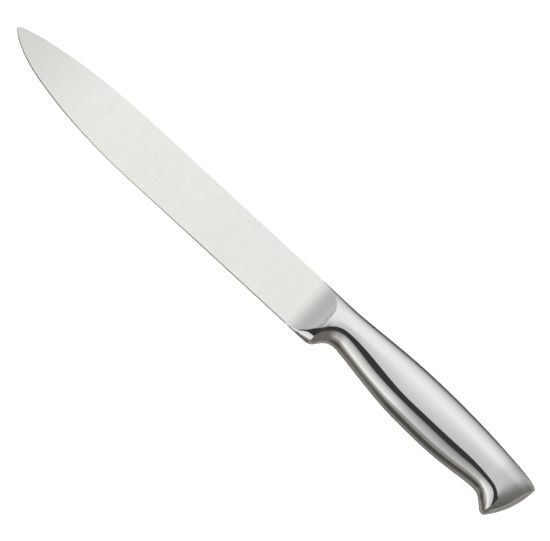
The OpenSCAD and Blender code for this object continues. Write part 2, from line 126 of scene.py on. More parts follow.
# where the lower face stays plane further down, and where it is steeper: at guard and hook
HOLD_PART = [(0, 1, 0), (14.2, 1, 0), (14.6, 0, 0), (127.2, 0, 0), (129.6, 1, 0.3), (131.25, 1.4, 0),
             (131.9, 0, 0), (146, 0, 0)]
FLARE_PART = [(0, 1, 0), (14.2, 1, 0), (14.6, 0, 0), (122, 0, 0), (126.5, 0.6, 0), (131.25, 0.6, 0),
              (131.9, 0, 0), (146, 0, 0)]
# how the section leaves the spine, and over what part of its height the side stays nearly plane
SPINE_STEEP = [(0, 0.46, 0), (10, 0.46, 0), (22, 0.62, 0), (146, 0.62, 0)]
SIDE_HOLD = [(0, 0.4, 0), (10, 0.4, 0), (22, 0.6, 0), (146, 0.6, 0)]

FACE_HEIGHT = BLADE_SPINE[-1][1] - BLADE_EDGE[-1][1] - BEVEL
FACE_SLOPE = (BLADE_THICK - EDGE_THICK) / 2 / FACE_HEIGHT
SPINE_TOP, BUTT_CORNER, HOOK_BOTTOM = HANDLE_SPINE[3][1], HANDLE_SPINE[8][1], HANDLE_BELLY[17][1]
HALF_SWELL = HALF_THICKNESS[3][1]
BUTT_X = BUTT_MID_X + math.sqrt(BUTT_RADIUS ** 2 - (BUTT_MID_Y - BUTT_CORNER) ** 2)
# from the knife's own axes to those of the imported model
SHIFT = np.array([(BLADE_LEN - BUTT_X) / 2, -(SPINE_TOP + HOOK_BOTTOM) / 2, HALF_SWELL])
print("overall length in mm:", round(BLADE_LEN + BUTT_X, 1))


def line(table, x):
    """The height of a line of stations at each x."""
    k = np.array(table, float)
    x = np.asarray(x, float)
    j = np.clip(np.searchsorted(k[:, 0], x, side="left") - 1, 0, len(k) - 2)
    a, b = k[j], k[j + 1]
    w = b[..., 0] - a[..., 0]
    t = np.clip((x - a[..., 0]) / w, 0, 1)
    u = 1 - t
    return (a[..., 1] * (1 + 2 * t) * u * u + b[..., 1] * t * t * (3 - 2 * t)
            + w * a[..., 2] * t * u * u - w * b[..., 2] * t * t * u)


# %% [markdown]
# ## The section of the handle
# Cut across, the handle is a rounded spine, a nearly flat side, a narrow chamfer below the ridge and a
# lower face that rounds into the belly. The ridge and the foot of the chamfer are soft creases, and
# they draw the dark line that runs along the handle. A section is three Bezier arcs and one straight
# step, and sampling it densely at many stations gives a skin with no visible facets.

# %% One half section at every station
def bezier(p, t):
    u = 1 - t
    return u ** 3 * p[0] + 3 * u * u * t * p[1] + 3 * u * t * t * p[2] + t ** 3 * p[3]


def spread(n, a=0.0, b=1.0):
    return np.linspace(a, b, n)


# where the points lie on the arcs: the first two and the last two belong to the seam welds
OVER_PARTS = np.array([0.0, SEAM_PART * 0.5, *spread(3, SEAM_PART, 0.05), *spread(26, 0.07, 1.0)])
SIDE_PARTS = spread(16)[1:]
STEP_PARTS = np.array([0.06, 0.35, 0.7, 1.0])
UNDER_PARTS = np.array([*spread(38, 0.0, 0.95)[1:], 0.96, 1 - SEAM_PART, 1 - SEAM_PART * 0.5, 1.0])
# 0 on the satin spine and side, 1 on the polished chamfer and lower face
POLISH = np.repeat([0.0, 1.0], [len(OVER_PARTS) + len(SIDE_PARTS), len(STEP_PARTS) + len(UNDER_PARTS)])
SECTION_POINTS = len(POLISH)


def half_sections(x):
    """Points [station, point, (y, z)] from the spine to the belly."""
    x = np.asarray(x, float)
    ys, yb, yr, yw = (line(k, x) for k in (HANDLE_SPINE, HANDLE_BELLY, RIDGE_LINE, WIDEST_LINE))
    h, drop_r, band, s1 = (line(k, x) for k in (HALF_THICKNESS, RIDGE_DROP, CHAMFER_BAND, SIDE_SLOPE))
    hold, flare, steep, flank = (line(k, x) for k in (HOLD_PART, FLARE_PART, SPINE_STEEP, SIDE_HOLD))
    s2 = LOWER_SLOPE + GUARD_FLARE * flare
    tall, fall = yw - yr, line(SIDE_FALL, x)
    hr, s1 = h - drop_r - fall * tall ** 2, s1 + 2 * fall * tall
    yc, hc = yr - band, hr - band * CHAMFER_SLOPE
    zero = np.zeros_like(x)
    deep = yc - yb
    keel = np.maximum(hc - BELLY_FULL * s2 * deep, LEAST_KEEL * hc)
    reach, drop = tall / 3, (LOWER_HOLD + GUARD_HOLD * hold) * deep
    pair = lambda a, b: np.stack([a, b], -1)
    over = [pair(ys, zero), pair(ys, steep * h), pair(yw + flank * (ys - yw), h), pair(yw, h)]
    side = [pair(yw, h), pair(yw - reach, h), pair(yr + reach, hr + reach * s1), pair(yr, hr)]
    under = [pair(yc, hc), pair(yc - drop, hc - drop * s2), pair(yb, keel), pair(yb, zero)]
    points = [bezier(over, t) for t in OVER_PARTS] + [bezier(side, t) for t in SIDE_PARTS]
    points += [side[3] * (1 - t) + under[0] * t for t in STEP_PARTS]
    points += [bezier(under, t) for t in UNDER_PARTS]
    return np.stack(points, 1)


def inset(p, amount):
    """The sections moved inwards along their normals."""
    d = np.empty_like(p)
    d[:, 1:-1] = p[:, 2:] - p[:, :-2]
    d[:, 0], d[:, -1] = p[:, 1] - p[:, 0], p[:, -1] - p[:, -2]
    m = np.stack([d[..., 1], -d[..., 0]], -1)
    m /= np.linalg.norm(m, axis=-1, keepdims=True)
    m[:, 0], m[:, -1] = (1, 0), (-1, 0)
    return p - m * amount


print("points in a half section:", SECTION_POINTS)
print("half thickness at the swell:", round(float(half_sections([80.0])[0, :, 1].max()), 2))


# %% [markdown]
# ## From loops to pieces
# The handle's pieces are stacks of closed loops, one loop for each station. Neighbouring loops are
# joined by a band of four-sided faces, and a strip of faces closes each end. The faces are wound so
# that they all point out of the steel.

# %% Loops
def with_x(x, ring):
    """Points [station, point, (y, z)] with their x put in front."""
    xs = np.broadcast_to(np.asarray(x, float)[:, None, None], ring.shape[:2] + (1,))
    return np.concatenate([xs, ring], -1)


def full_loops(x, amount=0.0):
    """Closed loops around the whole section, moved inwards by the amount."""
    p = half_sections(x)
    if amount:
        p = inset(p, amount)
    far_side = p[:, -2:0:-1] * np.array([1, -1])
    return with_x(x, np.concatenate([p, far_side], 1))


def stations(*stretches):
    """Distances along the knife, through stretches (count, from, to) that follow on from each other."""
    return np.concatenate([spread(*s)[:-1] for s in stretches[:-1]] + [spread(*stretches[-1])])


FULL_POLISH = np.concatenate([POLISH, POLISH[-2:0:-1]])
print("points in a full section:", len(FULL_POLISH))


# %% Pieces
def add_mesh(name, verts, faces, polish=None):
    """verts are in mm on the knife's own axes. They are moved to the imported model's axes, in metres."""
    mesh = bpy.data.meshes.new(name)
    mesh.from_pydata([tuple(v) for v in (np.asarray(verts) + SHIFT) * MM], [], faces)
    if polish is not None:
        attribute = mesh.attributes.new("polish", "FLOAT", "POINT")
        attribute.data.foreach_set("value", np.asarray(polish, np.float32))
    mesh.validate()
    piece = bpy.data.objects.new(name, mesh)
    bpy.context.collection.objects.link(piece)
    return piece


def end_strip(m, lap, offset, turn):
    """Faces across one end: point i of the loop joins its partner on the other side."""
    half = (m - lap) // 2
    partner = [(m - lap - i) % m for i in range(half + 1)]
    faces = []
    for i in range(half):
        f = []
        for v in (i, i + 1, partner[i + 1], partner[i]):
            if offset + v not in f:
                f.append(offset + v)
        faces.append(tuple(reversed(f)) if turn else tuple(f))
    return faces


def loft(name, loops, polish, lap=0, mirrored=False):
    """A closed piece through loops [station, point, xyz].

    lap is 0 where the first point of a loop lies in mid plane, and 1 where it has a partner.
    """
    n, m, _ = loops.shape
    at = lambda j, i: j * m + i % m
    bands = [(at(j, i), at(j, i + 1), at(j + 1, i + 1), at(j + 1, i))
             for j in range(n - 1) for i in range(m)]
    faces = end_strip(m, lap, 0, True) + bands + end_strip(m, lap, (n - 1) * m, False)
    if mirrored:
        faces = [f[::-1] for f in faces]
    return add_mesh(name, loops.reshape(-1, 3), faces, np.broadcast_to(polish, (n, m)).ravel())


def box_mesh(name, low, high):
    (x0, y0, z0), (x1, y1, z1) = low, high
    verts = [(x, y, z) for z in (z0, z1) for x, y in ((x0, y0), (x1, y0), (x1, y1), (x0, y1))]
    faces = [(0, 3, 2, 1), (4, 5, 6, 7), (0, 1, 5, 4), (1, 2, 6, 5), (2, 3, 7, 6), (3, 0, 4, 7)]
    return add_mesh(name, verts, faces)


def round_bar(name, radius, length, centre, axis, sides=96):
    """A closed round bar along X, Y or Z."""
    turn = 2 * math.pi * np.arange(sides) / sides
    ring = np.stack([radius * np.cos(turn), radius * np.sin(turn)], -1)
    ends = []
    for s in (-0.5, 0.5):
        p = np.zeros((sides, 3))
        p[:, axis] = s * length
        p[:, (axis + 1) % 3], p[:, (axis + 2) % 3] = ring[:, 0], ring[:, 1]
        ends.append(p + np.asarray(centre))
    faces = [(i, (i + 1) % sides, sides + (i + 1) % sides, sides + i) for i in range(sides)]
    faces += [tuple(range(sides))[::-1], tuple(range(sides, 2 * sides))]
    return add_mesh(name, np.concatenate(ends), faces)


# %% Cuts and crisp edges
def crisp(piece, degrees):
    """Smooth shading everywhere but at real creases."""
    for f in piece.data.polygons:
        f.use_smooth = True
    piece.data.set_sharp_from_angle(angle=math.radians(degrees))


def fresh_mesh(piece):
    """Takes the modifiers' result as a plain mesh."""
    deps = bpy.context.evaluated_depsgraph_get()
    worked = piece.evaluated_get(deps)
    mesh = bpy.data.meshes.new_from_object(worked, preserve_all_data_layers=True, depsgraph=deps)
    piece.modifiers.clear()
    old, piece.data = piece.data, mesh
    mesh.name = piece.name
    bpy.data.meshes.remove(old)


def cut(piece, tools):
    """Subtracts the tools exactly, so that the edges they leave are crisp lines."""
    for tool in tools:
        mod = piece.modifiers.new("cut", "BOOLEAN")
        mod.operation, mod.solver, mod.object = "DIFFERENCE", "EXACT", tool
    fresh_mesh(piece)
    for tool in tools:
        bpy.data.objects.remove(tool)


# %% [markdown]
# ## Shader maths as Python
# A node tree is easier to read as sums and products. One small class wraps a socket, and each
# operator on it adds the Math node it stands for. Any other node comes from one method.

# %% A socket that can be calculated with
class Field:
    def __init__(self, tree, socket):
        self.tree, self.socket = tree, socket

    def node(self, kind, settings=None, sockets=None, out=0):
        """Any node: its settings are made first, then the values or links of its sockets."""
        n = self.tree.nodes.new(kind)
        for key, value in (settings or {}).items():
            if key == "stops":
                ramp = n.color_ramp
                while len(ramp.elements) < len(value):
                    ramp.elements.new(0.5)
                for element, (place, colour) in zip(ramp.elements, value):
                    element.position, element.color = place, (*colour, 1.0)
            else:
                setattr(n, key, value)
        for key, value in (sockets or {}).items():
            if isinstance(value, Field):
                self.tree.links.new(value.socket, n.inputs[key])
            else:
                n.inputs[key].default_value = value
        return Field(self.tree, n.outputs[out])

    def maths(self, operation, *values):
        return self.node("ShaderNodeMath", {"operation": operation}, dict(enumerate(values)))

    def __add__(self, other):
        return self.maths("ADD", self, other)

    def __sub__(self, other):
        return self.maths("SUBTRACT", self, other)

    def __rsub__(self, other):
        return self.maths("SUBTRACT", other, self)

    def __mul__(self, other):
        return self.maths("MULTIPLY", self, other)

    def __truediv__(self, other):
        return self.maths("DIVIDE", self, other)

    __radd__, __rmul__ = __add__, __mul__

    def least(self, other):
        return self.maths("MINIMUM", self, other)

    def most(self, other):
        return self.maths("MAXIMUM", self, other)

    def fade(self, low, high):
        """0 below low and 1 above high, with soft ends."""
        sockets = {"Value": self, "From Min": low, "From Max": high, "To Min": 0.0, "To Max": 1.0}
        return self.node("ShaderNodeMapRange", {"interpolation_type": "SMOOTHSTEP"}, sockets)

    def between(self, low, full, still_full, high):
        """1 from full to still_full, and 0 below low and above high, with soft ends."""
        return self.fade(low, full) * (1.0 - self.fade(still_full, high))

    def axes(self):
        """The X, Y and Z of a vector."""
        n = self.tree.nodes.new("ShaderNodeSeparateXYZ")
        self.tree.links.new(self.socket, n.inputs[0])
        return [Field(self.tree, s) for s in n.outputs]


def colour_mix(factor, a, b):
    """A blend of two colours, where the factor is a field."""
    n = factor.tree.nodes.new("ShaderNodeMix")
    n.data_type = "RGBA"
    factor.tree.links.new(factor.socket, n.inputs[0])
    for socket, value in ((n.inputs[6], a), (n.inputs[7], b)):
        if isinstance(value, Field):
            factor.tree.links.new(value.socket, socket)
        else:
            socket.default_value = (*value, 1.0)
    return Field(factor.tree, n.outputs[2])


# %% [markdown]
# ## Satin steel
# Satin steel is a mirror that has been scratched in one direction with fine abrasive. Seen from arm's
# length the scratches melt into a soft gloss, and close up they are thin lines. The material keeps
# both: roughness gives the soft gloss, and a bump of noise that is stretched along the strokes gives
# the lines. The belly of the handle is polished further, so its roughness is lower there.

# %% The steels
def steel(name, base, gloss, stroke, depth, polished=None, cloud=0.02, painted_shade=None):
    """stroke is the scale of the noise along X, Y and Z, high across the strokes and low along them.

    polished is the roughness where the piece's own polish is 1, and cloud how much the colour varies.
    The last argument gives a length along X over which the colour darkens as painted shade, and by how much
    of its colour.
    """
    material = bpy.data.materials.new(name)
    material.use_nodes = True
    tree = material.node_tree
    shader = tree.nodes["Principled BSDF"]
    start = Field(tree, None)

    def noise(place, scale, detail, roughness=0.5):
        sockets = {"Vector": place, "Scale": scale, "Detail": detail, "Roughness": roughness}
        return start.node("ShaderNodeTexNoise", {}, sockets)

    place = start.node("ShaderNodeTexCoord", out="Object")
    lines = noise(start.node("ShaderNodeMapping", {}, {"Vector": place, "Scale": stroke}), 1.0, 3.0, 0.65)
    wide = start.node("ShaderNodeMapping", {}, {"Vector": place, "Scale": [s * 0.23 for s in stroke]})
    swell = noise(wide, 1.0, 2.0)
    patches = noise(place, 160.0, 4.0, 0.6)
    shade = (lines - 0.5) * 0.5 + (swell - 0.5) * 0.3 + (patches - 0.5) * 0.5 + 0.5
    dark = [c * (1 - cloud) for c in base]
    light = [min(1.0, c * (1 + cloud)) for c in base]
    tint = colour_mix(shade.fade(0.2, 0.8), dark, light)
    rough = gloss + (patches - 0.5) * 0.05 + (lines - 0.5) * 0.05
    satin = None
    if polished is not None:
        rubbed = start.node("ShaderNodeAttribute", {"attribute_name": "polish"}, out="Fac")
        satin = 1.0 - rubbed
        rough = rough * satin + rubbed * polished
        lines = lines * satin
    # painted shade: the base colour darkens along X, standing in for the darker reflections there
    if painted_shade:
        low, high, part = painted_shade
        far = place.axes()[0].fade(low, high)
        if satin:
            far = far * satin
        tint = colour_mix(far, tint, [c * (1 - part) for c in base])
    tree.links.new(tint.socket, shader.inputs["Base Color"])
    tree.links.new(rough.socket, shader.inputs["Roughness"])
    bump = start.node("ShaderNodeBump", {}, {"Strength": 1.0, "Distance": depth, "Height": lines})
    tree.links.new(bump.socket, shader.inputs["Normal"])
    shader.inputs["Metallic"].default_value = 1.0
    material.diffuse_color = (*base, 1.0)
    return material


# the blade's colour darkens towards the tip: painted shade
BLADE_STEEL = steel("blade_satin_and_painted_shade", (0.904, 0.915, 0.872), 0.30, (5200.0, 260.0, 260.0), 2e-7, cloud=0.06,
                    painted_shade=(-0.105, -0.17, 0.2))
HANDLE_FINISH = {"base": (0.78, 0.78, 0.77), "gloss": 0.24, "stroke": (4200.0, 200.0, 200.0),
                 "depth": 1.5e-7, "polished": 0.045, "cloud": 0.01}
HANDLE_STEEL = steel("handle_satin", **HANDLE_FINISH)
# the cap's satin parts darken towards the butt: painted shade
CAP_STEEL = steel("cap_satin_and_painted_shade", **HANDLE_FINISH, painted_shade=(0.143, 0.151, 0.19))
WELD_STEEL = steel("weld_flush", **HANDLE_FINISH)
INNER_STEEL = steel("turned_steel", (0.50, 0.50, 0.51), 0.42, (1500.0, 90.0, 90.0), 2e-6, cloud=0.08)
RIVET_STEEL = steel("drawn_steel", (0.62, 0.62, 0.62), 0.36, (200.0, 200.0, 2500.0), 1e-6, cloud=0.05)
finishes = (BLADE_STEEL, HANDLE_STEEL, CAP_STEEL, WELD_STEEL, INNER_STEEL, RIVET_STEEL)
print("steels:", [finish.name for finish in finishes])

# %% [markdown]
# ## The blade
# The plate is ground flat: its thickness falls along a straight line from the spine to the edge, and
# a narrow bevel finishes the edge. That is a rule, so Geometry Nodes can do the grinding. The script
# only draws the flat outline as a grid of points, and the tree lifts each point to the lowest of
# three planes: the bevel, the ground face and the broken corner of the spine.

# %% The grinding tree
def grinding_tree():
    """A tree that lifts a flat outline to the ground faces, and closes it with their mirror image."""
    tree = bpy.data.node_groups.new("grind the blade", "GeometryNodeTree")
    sockets = tree.interface
    sockets.new_socket("Geometry", in_out="INPUT", socket_type="NodeSocketGeometry")
    sizes = [("Spine thickness", BLADE_THICK), ("Edge thickness", EDGE_THICK), ("Bevel height", BEVEL),
             ("Tip part", TIP_THIN), ("Spine break", SPINE_BREAK)]
    for label, value in sizes:
        size = sockets.new_socket(label, in_out="INPUT", socket_type="NodeSocketFloat")
        size.default_value = value
    sockets.new_socket("Geometry", in_out="OUTPUT", socket_type="NodeSocketGeometry")
    enter, leave = tree.nodes.new("NodeGroupInput"), tree.nodes.new("NodeGroupOutput")
    given = {label: Field(tree, enter.outputs[label]) for label, _ in sizes}
    start = Field(tree, enter.outputs["Geometry"])

    def stored(label):
        return start.node("GeometryNodeInputNamedAttribute", {"data_type": "FLOAT"}, {"Name": label})

    top, low, height, reach, rim = (stored(s) for s in ("top", "low", "height", "reach", "rim"))
    # reach is 1 on the flat part near the handle and falls to 0 at the tip
    part = given["Tip part"] + (1.0 - given["Tip part"]) * reach
    tall = top - low
    bevel = given["Bevel height"].least(tall * BEVEL_SHARE)
    thin = given["Edge thickness"] * 0.5 * part
    grown = (given["Spine thickness"] - given["Edge thickness"]) * 0.5
    thick = thin + grown * ((tall - bevel - given["Spine break"]) / FACE_HEIGHT) * part
    chip = given["Spine break"].least(tall * BREAK_SHARE).least(thick * 0.5)
    rise = height - low
    on_bevel = thin * rise / bevel
    on_face = thin + (thick - thin) * (rise - bevel) / (tall - bevel - chip)
    on_chip = thick - (height - (top - chip))
    lift = on_bevel.least(on_face).least(on_chip).most(0.0) * rim * MM
    upwards = start.node("ShaderNodeCombineXYZ", {}, {2: lift})
    downwards = start.node("ShaderNodeVectorMath", {"operation": "SCALE"}, {0: upwards, "Scale": -1.0})
    raised, sunk = (start.node("GeometryNodeSetPosition", {}, {"Geometry": start, "Offset": way})
                    for way in (upwards, downwards))
    turned = start.node("GeometryNodeFlipFaces", {}, {"Mesh": sunk})
    join = tree.nodes.new("GeometryNodeJoinGeometry")
    for face in (raised, turned):
        tree.links.new(face.socket, join.inputs[0])
    joined = Field(tree, join.outputs[0])
    closed = start.node("GeometryNodeMergeByDistance", {}, {"Geometry": joined, "Distance": 2e-6})
    real = start.node("GeometryNodeRealizeInstances", {}, {"Geometry": closed})
    done = start.node("GeometryNodeSetMaterial", {}, {"Geometry": real, "Material": BLADE_STEEL})
    tree.links.new(done.socket, leave.inputs[0])
    return tree


# %% The outline of the blade as a grid of points
NOSE_LEN = 10.0
# crowded in the round of the tip, and doubled at both ends, where the two faces meet
along = np.concatenate([[-BLADE_LEN, 0.01 - BLADE_LEN], NOSE_LEN * spread(60)[1:] ** 1.6 - BLADE_LEN,
                        spread(110, NOSE_LEN - BLADE_LEN, 0)[1:], [0.0]])
top_y, low_y = line(BLADE_SPINE, along), line(BLADE_EDGE, along)
bevel_y = np.minimum(BEVEL, BEVEL_SHARE * (top_y - low_y))
chip_y = np.minimum(SPINE_BREAK, BREAK_SHARE * (top_y - low_y))
face_y = (low_y + bevel_y)[:, None] + (top_y - chip_y - low_y - bevel_y)[:, None] * spread(20)[None, :]
heights = np.concatenate([low_y[:, None], face_y, top_y[:, None], top_y[:, None]], 1)
n_along, n_across = heights.shape
blank = np.stack([np.broadcast_to(along[:, None], heights.shape), heights, 0 * heights], -1)
grid = [(j * n_across + i, (j + 1) * n_across + i, (j + 1) * n_across + i + 1, j * n_across + i + 1)
        for j in range(n_along - 1) for i in range(n_across - 1)]
blade = add_mesh("blade_plate", blank.reshape(-1, 3), grid)
print("grid of the blade:", n_along, "by", n_across, "points")

# %% Grind it
rim = np.ones_like(heights)
rim[:, -1] = rim[0] = rim[-1] = 0
reach = np.clip((along + BLADE_LEN) / (BLADE_LEN - FLAT_LEN), 0, 1)
spread_out = lambda v: np.broadcast_to(v[:, None], heights.shape)
STORED = {"top": spread_out(top_y), "low": spread_out(low_y), "height": heights,
          "reach": spread_out(reach), "rim": rim}
for label, values in STORED.items():
    attribute = blade.data.attributes.new(label, "FLOAT", "POINT")
    attribute.data.foreach_set("value", np.ascontiguousarray(values, np.float32).ravel())
grinder = blade.modifiers.new("grind", "NODES")
grinder.node_group = grinding_tree()
fresh_mesh(blade)
for label in STORED:
    if label in blade.data.attributes:
        blade.data.attributes.remove(blade.data.attributes[label])
print("blade faces:", len(blade.data.polygons), "box mm:", [round(v / MM, 2) for v in blade.dimensions])

# %% [markdown]
# ## The tang
# A strip of the plate runs back into the handle and carries a steel slug that balances the blade. It
# can't be seen once the handle is closed, but it is what holds the blade, so the fine blade has it
# too: a plain strip with two rivet holes.

# %% The tang, joined to the plate
tang = box_mesh("tang", (-SPINE_BREAK, TANG_MID - TANG_HEIGHT / 2, -TANG_THICK / 2),
                (TANG_LEN, TANG_MID + TANG_HEIGHT / 2, TANG_THICK / 2))
holes = [round_bar("hole", RIVET_HOLE / 2, 6, (RIVET_X + s * RIVET_PITCH / 2, TANG_MID, 0), 2)
         for s in (-1, 1)]
cut(tang, holes)
both = bmesh.new()
for strip in (blade, tang):
    both.from_mesh(strip.data)
both.to_mesh(blade.data)
both.free()
bpy.data.objects.remove(tang)
crisp(blade, 12)
print("blade with tang, faces:", len(blade.data.polygons))

# %% [markdown]
# ## The bolster
# The bolster is cast with the handle's own section, and a round wheel has ground a concave ramp into
# each side, down to the face of the blade. The same is done here: the section is lofted first, and
# two round bars are cut out of it. The cut leaves the curved line that ends the ramp, with no need to
# work that line out.

# %% Bolster with its two ramps, spigot and tang slot
def casting(name, *lengths):
    """One closed solid along the handle, through lengths of (stations, inset)."""
    return loft(name, np.concatenate([full_loops(x, amount) for x, amount in lengths]), FULL_POLISH)


def ramp_wheel(side):
    """The round wheel that grinds one ramp, tipped as the blade's ground face is."""
    face_angle = math.atan(FACE_SLOPE)
    cosine, sine = math.cos(face_angle), side * math.sin(face_angle)
    lift = BLADE_THICK / 2 + RAMP_RADIUS / cosine
    wheel = round_bar("wheel", RAMP_RADIUS, 90, (0, 0, 0), 1, 720)
    p = np.array([v.co for v in wheel.data.vertices]) / MM - SHIFT
    tipped = np.stack([p[:, 0], p[:, 1] * cosine - p[:, 2] * sine, p[:, 1] * sine + p[:, 2] * cosine], -1)
    placed = tipped + np.array([0, BLADE_SPINE[-1][1], side * lift])
    for v, q in zip(wheel.data.vertices, (placed + SHIFT) * MM):
        v.co = q
    return wheel


# the sections stand closest where the notch begins
nose = stations((24, 0, 12), (61, 12, 24), (21, 24, BOLSTER_LEN))
bolster = casting("bolster_casting", (nose, 0.0), ([BOLSTER_LEN, BOLSTER_LEN + SPIGOT_LEN], SPIGOT_INSET))
slot_high, slot_thick = TANG_HEIGHT / 2 + TANG_PLAY, TANG_THICK / 2 + TANG_PLAY
slot = box_mesh("slot", (-PAST, TANG_MID - slot_high, -slot_thick),
                (BOLSTER_LEN + SPIGOT_LEN + PAST, TANG_MID + slot_high, slot_thick))
cut(bolster, [ramp_wheel(1), ramp_wheel(-1), slot])
crisp(bolster, 5)
print("bolster faces:", len(bolster.data.polygons))

# %% [markdown]
# ## The shells and their welds
# Two half shells are pressed from sheet, set edge to edge and welded along the spine and the belly.
# The welds are then ground flush. Shells and beads share the same section points, so the skin runs
# on from one piece to the next without a step.

# %% Shells, seam beads and ring beads
shell_x = stations((61, SHELL_FRONT, 69), (16, 69, 80), (61, 80, SHELL_REAR))


def wall_piece(name, points, mirrored=False):
    """A piece of the shells' wall. points are (place in the half section, side) along its outer face."""
    p = half_sections(shell_x)
    place, side = np.array(points).T
    outer, inner = (np.stack([s[:, place, 0], s[:, place, 1] * side], -1) for s in (p, inset(p, WALL)))
    loop = np.concatenate([outer, inner[:, ::-1]], 1)
    polish = np.concatenate([POLISH[place], POLISH[place[::-1]]])
    return loft(name, with_x(shell_x, loop), polish, 1, mirrored)


def ring_bead(name, x0, x1):
    """A ring across the handle, as thick as the shells' wall."""
    loops = np.concatenate([full_loops(spread(3, x0, x1)), full_loops(spread(3, x1, x0), WALL)])
    n, m, _ = loops.shape
    at = lambda j, i: j % n * m + i % m
    faces = [(at(j, i), at(j, i + 1), at(j + 1, i + 1), at(j + 1, i)) for j in range(n) for i in range(m)]
    return add_mesh(name, loops.reshape(-1, 3), faces, np.broadcast_to(FULL_POLISH, (n, m)).ravel())


# the last point of a half section lies on the belly, and the third from each end is a seam's edge
last = SECTION_POINTS - 1
shell_upper = wall_piece("shell_upper", [(i, 1) for i in range(2, last - 1)])
shell_lower = wall_piece("shell_lower", [(i, -1) for i in range(2, last - 1)], mirrored=True)
across = [(2, -1), (1, -1), (0, 1), (1, 1), (2, 1)]
seam_spine = wall_piece("seam_bead_spine", across)
seam_belly = wall_piece("seam_bead_belly", [(last - i, -side if i else side) for i, side in across])
ring_front = ring_bead("ring_bead_front", BOLSTER_LEN, SHELL_FRONT)
ring_rear = ring_bead("ring_bead_rear", SHELL_REAR, CAP_X)
for piece in (shell_upper, shell_lower, seam_spine, seam_belly, ring_front, ring_rear):
    crisp(piece, 5)
print("shell faces:", len(shell_upper.data.polygons))

# %% [markdown]
# ## The butt
# The cap carries the handle's lines on into a small hook. Its end is ground to a barrel: curved along
# the height and curved again across the thickness. The cutting tool has that barrel surface, so the
# crisp line between side and end falls out of the cut.

# %% The barrel tool
# from and to in degrees around the end face's middle, and half the width, just inside the barrel's radius
SWING_FROM, SWING_TO, TOOL_HALF, TOOL_DEPTH = -58, 12, 10.2375, 12


def barrel_tool():
    """All that grinding takes away: a block whose inner side is the barrelled end face."""
    swing, half_wide = np.radians(spread(160, SWING_FROM, SWING_TO)), spread(79, -TOOL_HALF, TOOL_HALF)
    barrel = BUTT_RADIUS - BARREL_RADIUS + np.sqrt(BARREL_RADIUS ** 2 - half_wide ** 2)
    layers = []
    for radius in (barrel, np.full_like(barrel, BUTT_RADIUS + TOOL_DEPTH)):
        r, a = np.meshgrid(radius, swing, indexing="ij")
        z = np.broadcast_to(half_wide[:, None], r.shape)
        layers.append(np.stack([BUTT_MID_X + r * np.cos(a), BUTT_MID_Y + r * np.sin(a), z], -1))
    rows, columns = layers[0].shape[:2]
    total = rows * columns
    faces = []
    for k, order in ((0, 1), (1, -1)):
        for i in range(rows - 1):
            for j in range(columns - 1):
                v = k * total + i * columns + j
                faces.append((v, v + 1, v + columns + 1, v + columns)[::order])
    border = [(0, j) for j in range(columns)] + [(i, columns - 1) for i in range(1, rows)]
    border += [(rows - 1, j) for j in range(columns - 2, -1, -1)] + [(i, 0) for i in range(rows - 2, 0, -1)]
    ids = [i * columns + j for i, j in border]
    faces += [(a, a + total, b + total, b) for a, b in zip(ids, ids[1:] + ids[:1])]
    tool = add_mesh("barrel_tool", np.concatenate([g.reshape(-1, 3) for g in layers]), faces)
    wound = bmesh.new()
    wound.from_mesh(tool.data)
    bmesh.ops.recalc_face_normals(wound, faces=wound.faces)
    wound.to_mesh(tool.data)
    wound.free()
    return tool


# %% Butt cap with its barrelled end
# the sections stand closest from 130.6 to 133, where the mitre of the hook turns
rear = stations((36, CAP_X, 128), (16, 128, 130.6), (41, 130.6, 133), (21, 133, 138),
                (36, 138, HANDLE_LEN + PAST))
cap = casting("butt_casting", ([CAP_X - SPIGOT_LEN, CAP_X], SPIGOT_INSET), (rear, 0.0))
cut(cap, [barrel_tool()])
crisp(cap, 5)
print("cap faces:", len(cap.data.polygons), "box mm:", [round(v / MM, 2) for v in cap.dimensions])

# %% [markdown]
# ## Handing the pieces over
# Each fine piece takes the place of one plain solid, which is hidden, rides on the knife's one body and
# gets its steel. The slug and the rivets are hidden in the handle, so they keep their solids' own meshes
# and only get their steel.

# %% Every piece gets its steel and its body, and its plain solid is hidden
STANDS_FOR = [
    (blade, BLADE_STEEL, "blade_steel", "blade"), (bolster, HANDLE_STEEL, "handle_steel", "bolster"),
    (shell_upper, HANDLE_STEEL, "handle_steel", "handle_shell_upper"),
    (shell_lower, HANDLE_STEEL, "handle_steel", "handle_shell_lower"),
    (cap, CAP_STEEL, "handle_steel", "butt_cap"), (seam_spine, WELD_STEEL, "weld_steel", "seam_weld_spine"),
    (seam_belly, WELD_STEEL, "weld_steel", "seam_weld_belly"),
    (ring_front, WELD_STEEL, "weld_steel", "ring_weld_front"),
    (ring_rear, WELD_STEEL, "weld_steel", "ring_weld_rear"),
]
for piece, material, slot_name, node in STANDS_FOR:
    piece.data.materials.clear()
    piece.data.materials.append(material)
    for f in piece.data.polygons:
        f.material_index = 0
    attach(piece, "root")
    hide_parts(node)
HIDDEN = {"balance_weight": INNER_STEEL, "rivet_front": RIVET_STEEL, "rivet_rear": RIVET_STEEL}
for name, material in HIDDEN.items():
    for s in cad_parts[name].material_slots:
        s.material = material
triangles = sum(len(f.vertices) - 2 for piece, *_ in STANDS_FOR for f in piece.data.polygons)
print("pieces:", len(STANDS_FOR), "triangles:", triangles)

# %% [markdown]
# ## The floor and the studio
# A knife laid down rests on the swell of its handle and on its tip, so the floor is tipped a little
# against the knife's own axes. Steel shows its surroundings more than itself. The picture's broad
# white side, dark line and bright lower face are the reflections of a large white tent with a dark
# gap in it. The tent is a big dome that only reflections see, and its brightness depends on the
# direction: bright overhead, a dark gap towards the belly, then a second bright panel.

